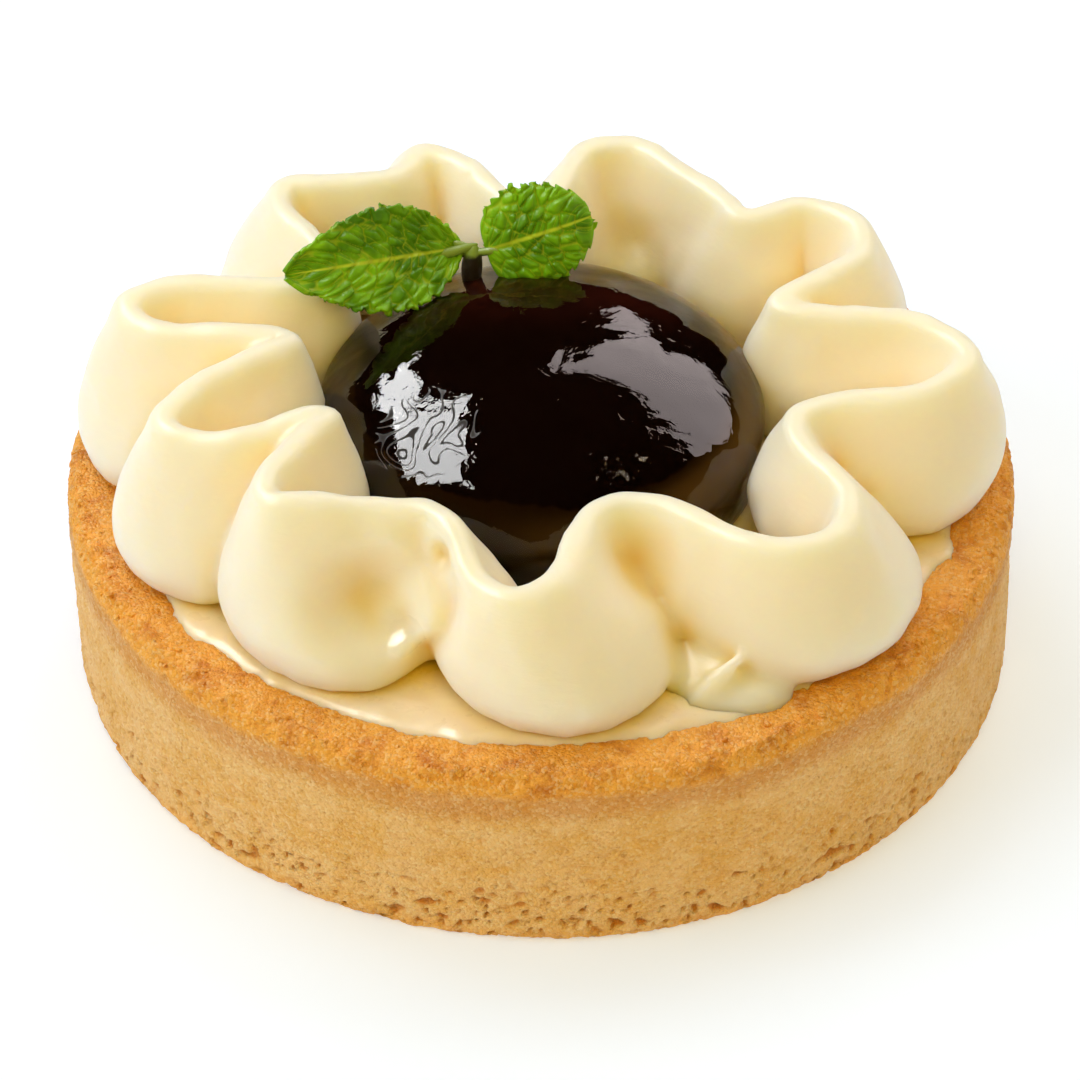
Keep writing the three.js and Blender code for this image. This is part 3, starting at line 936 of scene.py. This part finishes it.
class TART_OT_dome(bpy.types.Operator):
    """Sets the berry gel dome: a dark core under clear glaze."""

    bl_idname = "tart.dome"
    bl_label = "Berry Gel Dome"

    def execute(self, context):
        settings = settings_of("dome")
        low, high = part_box("berry_dome")
        radius = high.x / MM
        foot = low.z / MM

        def dome(inset, foot_radius, foot_height, shoulder_radius):
            rise = high.z / MM - SHOULDER - inset
            crown = arc((0, 0), 1.0, 0, 90, CROWN_STEPS)
            profile = [
                (0, foot_height),
                *line((foot_radius * 0.1, foot_height), (foot_radius, foot_height), 10),
                *line((foot_radius, foot_height), (shoulder_radius, SHOULDER), 10),
                *[(shoulder_radius * x, SHOULDER + rise * y) for x, y in crown[:-1]],
                (0, SHOULDER + rise),
            ]
            return spun(profile, DOME_STEPS)

        core = dome(
            inset=settings.core_depth / MM,
            foot_radius=radius - 2.6,
            foot_height=foot + 0.2,
            shoulder_radius=radius - 0.8,
        )

        def wavy(place):
            return noise.noise(place * 0.28) * 0.15 - 0.1

        push(core, wavy)
        finished("gel_core", core, core_look(settings), "berry_gel")

        glaze = dome(inset=0.0, foot_radius=radius - 0.6, foot_height=foot, shoulder_radius=radius)

        def ripples(place):
            return noise.noise(place * Vector((0.11, 0.16, 0.2))) * 0.18 - 0.14

        push(glaze, ripples)
        look = glaze_look("clear_glaze", settings.glaze)
        cover = finished("gel_glaze", glaze, look, "berry_gel", "berry_dome")
        self.bubbles(surface_of(cover), glaze_look("bubble", settings.bubble))
        return {"FINISHED"}

    def bubbles(self, cover, material):
        """Tiny bubbles that set half sunk in the glaze."""
        draw = random.Random(BUBBLE_SEED)
        shape = bmesh.new()
        for count, centre, spread in BUBBLES:
            for _ in range(count):
                x, y = draw.gauss(centre[0], spread[0]), draw.gauss(centre[1], spread[1])
                size = (0.05 + 0.16 * draw.random() ** 3) * MM
                spot = cover.ray_cast(Vector((x, y, 40)) * MM, Vector((0, 0, -1)))[0]
                if spot is None:
                    continue
                made = bmesh.ops.create_uvsphere(shape, u_segments=12, v_segments=8, radius=size)
                bmesh.ops.translate(shape, verts=made["verts"], vec=spot)
        finished("gel_bubbles", shape, material, "berry_gel")


# Each leaf: base and tip of its midrib and the way its blade faces, in the frame's millimetres
LEAVES = {
    "mint_leaf_left": {
        "base": (-7.2, 13.2, 30.4),
        "tip": (-21.4, 6.2, 32.9),
        "facing": (0.38, -0.59, 0.51),
        "half_width": 4.6,
        "roundness": 0.7,
        "arch": 1.1,
        "cup": 0.5,
        "teeth": 12,
    },
    "mint_leaf_right": {
        "base": (-4.7, 12.8, 30.5),
        "tip": (4.3, 14.4, 32.9),
        "facing": (0.05, -0.78, 0.46),
        "half_width": 4.6,
        "roundness": 0.4,
        "arch": 0.7,
        "cup": -0.4,
        "teeth": 10,
    },
}
# The cut stem, then the leaves' stalks: start, its radius, end, its radius
STEMS = [
    ((-6.0, 12.3, 26.4), 0.9, (-5.7, 13.0, 31.0), 0.9),
    ((-11.0, 11.6, 30.0), 0.4, (-5.3, 13.1, 30.9), 0.5),
    ((-7.4, 13.1, 31.2), 0.45, (-5.0, 12.8, 29.6), 0.5),
    ((-7.0, 12.8, 29.9), 0.36, (-2.4, 12.8, 30.8), 0.36),
]


class TART_OT_mint(bpy.types.Operator):
    """Lays the mint sprig: two serrated, quilted leaves on a cut stem."""

    bl_idname = "tart.mint"
    bl_label = "Mint Sprig"

    def leaf(self, name, form, material, settings):
        """A grid bent to a leaf; v runs from its base to its tip, side from midrib to edge."""
        base = Vector(form["base"])
        tip = Vector(form["tip"])
        along = (tip - base).normalized()
        across = Vector(form["facing"]).cross(along).normalized()
        normal = along.cross(across)
        to_frame = Matrix((along, across, normal)).transposed()
        length = (tip - base).length
        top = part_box("mint_sprig")[1].z
        shape = bmesh.new()
        chart = shape.loops.layers.uv.new(BLADE)
        along_faces, across_faces = LEAF_GRID
        bmesh.ops.create_grid(shape, x_segments=along_faces, y_segments=across_faces, size=0.5)
        for face in shape.faces:
            for loop in face.loops:
                loop[chart].uv = (loop.vert.co.x + 0.5, loop.vert.co.y + 0.5)
        veins = settings.veins
        quilt_store = shape.verts.layers.float.new(QUILT)
        for vert in shape.verts:
            v = min(max(vert.co.x + 0.5, 0.004), 0.996)
            s = vert.co.y * 2
            side = abs(s)
            outline = math.sin(math.pi * v**0.8) ** form["roundness"]
            tooth = (form["teeth"] * (v + 0.02 * (1 if s > 0 else 0))) % 1
            width = form["half_width"] * outline * (1 - 0.1 * ease(tooth) * side**4)
            phase = veins * (v - settings.vein_slant * side) * math.pi
            pillow = abs(math.sin(phase)) ** 0.6 * min(1, 4 * side) * (1 - 0.3 * side)
            slanted = v * length - settings.vein_slant * side * length * 0.6
            near = noise.voronoi(Vector((slanted * 0.78, s * width * 0.8, form["teeth"])))[0]
            cell = 1 - (1 - min(1, (near[1] - near[0]) / 0.5)) ** 3
            quilt = (0.45 + 0.55 * pillow) * cell
            vert[quilt_store] = quilt
            lump = 0.16 * noise.noise(Vector((v * length * 0.9, s * 4, form["teeth"])))
            margin = min(1, 6 * v * (1 - v))
            lift = form["arch"] * 4 * v * (1 - v) + form["cup"] * side * side
            lift += 0.55 * quilt * margin
            place = Vector((v * length, s * width, lift + lump))
            vert.co = (base + to_frame @ place) * MM
            vert.co.z = min(vert.co.z, top)
        bmesh.ops.recalc_face_normals(shape, faces=shape.faces)
        average = sum((face.normal for face in shape.faces), Vector())
        if average.dot(normal) < 0:
            bmesh.ops.reverse_faces(shape, faces=shape.faces)
        piece = finished(name, shape, material, "mint_leaf")
        wall = piece.modifiers.new("wall", "SOLIDIFY")
        wall.thickness = settings.thickness
        wall.offset = -1
        apply_modifiers(piece)
        for vert in piece.data.vertices:
            vert.co.z = min(vert.co.z, top)

    def stem(self, material):
        shape = bmesh.new()
        for strand in STEMS:
            add_strand(shape, *strand)
        finished("mint_stem", shape, material, "mint_leaf", "mint_sprig")

    def execute(self, context):
        settings = settings_of("mint")
        material = mint_look(settings)
        for name, form in LEAVES.items():
            self.leaf(name, form, material, settings)
        self.stem(stem_look(settings))
        return {"FINISHED"}


class TART_OT_stage(bpy.types.Operator):
    """Sets up the studio: floor, soft lights and the photograph's camera."""

    bl_idname = "tart.stage"
    bl_label = "Studio"

    def lamp(
        self, name, azimuth, elevation, distance, size, power, glossy=True, colour=WHITE, upright=UP
    ):
        """A soft light that faces the tart. Azimuth 0 is on the camera's side, 90 to its right."""
        data = bpy.data.lights.new(name, "AREA")
        data.shape = "RECTANGLE"
        data.size, data.size_y = size
        data.energy = power
        data.color = colour
        lamp = bpy.data.objects.new(name, data)
        bpy.context.scene.collection.objects.link(lamp)
        turn, rise = math.radians(azimuth), math.radians(elevation)
        way = Vector(
            (math.sin(turn) * math.cos(rise), -math.cos(turn) * math.cos(rise), math.sin(rise))
        )
        across = Vector(upright).cross(way).normalized()
        lamp.location = CAMERA_AIM + way * distance
        lamp.rotation_euler = Matrix((across, way.cross(across), way)).transposed().to_euler()
        lamp.visible_glossy = glossy
        lamp.visible_camera = False
        return lamp

    def execute(self, context):
        settings = settings_of("stage")
        scene = context.scene
        shape = bmesh.new()
        bmesh.ops.create_grid(shape, x_segments=1, y_segments=1, size=settings.floor_side / 2)
        mesh = bpy.data.meshes.new("floor")
        shape.to_mesh(mesh)
        shape.free()
        floor = bpy.data.objects.new("floor", mesh)
        scene.collection.objects.link(floor)
        mesh.materials.append(floor_look(settings))

        world = bpy.data.worlds.new("studio")
        world.use_nodes = True
        backdrop = world.node_tree.nodes["Background"]
        backdrop.inputs["Color"].default_value = (1, 1, 1, 1)
        backdrop.inputs["Strength"].default_value = 0.0
        scene.world = world

        # The four lights of the loop are only mirrored in the tart; the others only shine on it
        self.lamp("key_left", -138, 52, 0.7, (0.5, 0.5), settings.key, glossy=False)
        for reflected in (
            self.lamp("glint", -120, 59, 0.7, (0.25, 0.5), settings.glint, upright=GLINT_AXIS),
            self.lamp("small_glint", -143, 39, 0.7, (0.11, 0.1), settings.glint * 0.09),
            self.lamp("thin_glint", -153, 35, 0.7, (0.1, 0.03), settings.glint * 0.02),
            self.lamp("window", 144, 39, 0.8, (0.66, 0.36), settings.window, colour=ROSY),
        ):
            reflected.visible_diffuse = False
        self.lamp("back_fill", 150, 40, 0.8, (0.6, 0.6), settings.back, glossy=False)
        self.lamp("overhead", 180, 86, 1.2, (0.8, 0.8), settings.overhead, glossy=False)
        self.lamp("front_fill", 8, 48, 1.1, (0.6, 0.6), settings.front, glossy=False, colour=WARM)
        self.lamp("left_fill", -72, 30, 1.0, (0.8, 0.8), settings.left, glossy=False, colour=COOL)
        self.lamp("right_fill", 70, 25, 1.0, (0.8, 0.8), settings.right, glossy=False)

        scene.view_settings.view_transform = "Standard"
        scene.view_settings.look = "None"
        data = bpy.data.cameras.new("camera")
        data.sensor_width = SENSOR_WIDTH
        data.lens = SENSOR_WIDTH * PHOTO_PX_PER_MM * (CAMERA_DISTANCE / MM) / PHOTO_SIDE_PX
        data.clip_start = CAMERA_DISTANCE / 10
        camera = bpy.data.objects.new("camera", data)
        scene.collection.objects.link(camera)
        back = Vector((0, -math.cos(CAMERA_ELEVATION), math.sin(CAMERA_ELEVATION)))
        camera.location = CAMERA_AIM + back * CAMERA_DISTANCE
        camera.rotation_euler = (math.pi / 2 - CAMERA_ELEVATION, 0, 0)
        scene.camera = camera
        return {"FINISHED"}


PIECES = (
    TART_OT_shell,
    TART_OT_cream_base,
    TART_OT_ruffle,
    TART_OT_dome,
    TART_OT_mint,
    TART_OT_stage,
)
SETTINGS = {
    "shell": ShellSettings,
    "cream": CreamSettings,
    "dome": DomeSettings,
    "mint": MintSettings,
    "stage": StageSettings,
}


class TART_PT_parts(bpy.types.Panel):
    """Lists the tart's pieces and their sizes and colours."""

    bl_label = "Berry Ganache Tart"
    bl_idname = "TART_PT_parts"
    bl_space_type = "VIEW_3D"
    bl_region_type = "UI"
    bl_category = "Tart"

    def draw(self, context):
        for piece in PIECES:
            self.layout.operator(piece.bl_idname)
        for kind in SETTINGS:
            box = self.layout.box()
            box.label(text=kind.capitalize())
            group = settings_of(kind)
            for name in group.__annotations__:
                box.prop(group, name)


def register():
    for kind, group in SETTINGS.items():
        bpy.utils.register_class(group)
        setattr(bpy.types.Scene, "tart_" + kind, bpy.props.PointerProperty(type=group))
    for kind in (*PIECES, TART_PT_parts):
        bpy.utils.register_class(kind)


def unregister():
    for kind in (TART_PT_parts, *reversed(PIECES)):
        bpy.utils.unregister_class(kind)
    for kind, group in SETTINGS.items():
        delattr(bpy.types.Scene, "tart_" + kind)
        bpy.utils.unregister_class(group)


def main():
    register()
    bpy.ops.tart.stage()
    bpy.ops.tart.shell()
    bpy.ops.tart.cream_base()
    bpy.ops.tart.ruffle()
    bpy.ops.tart.dome()
    bpy.ops.tart.mint()


if __name__ == "__main__":
    main()
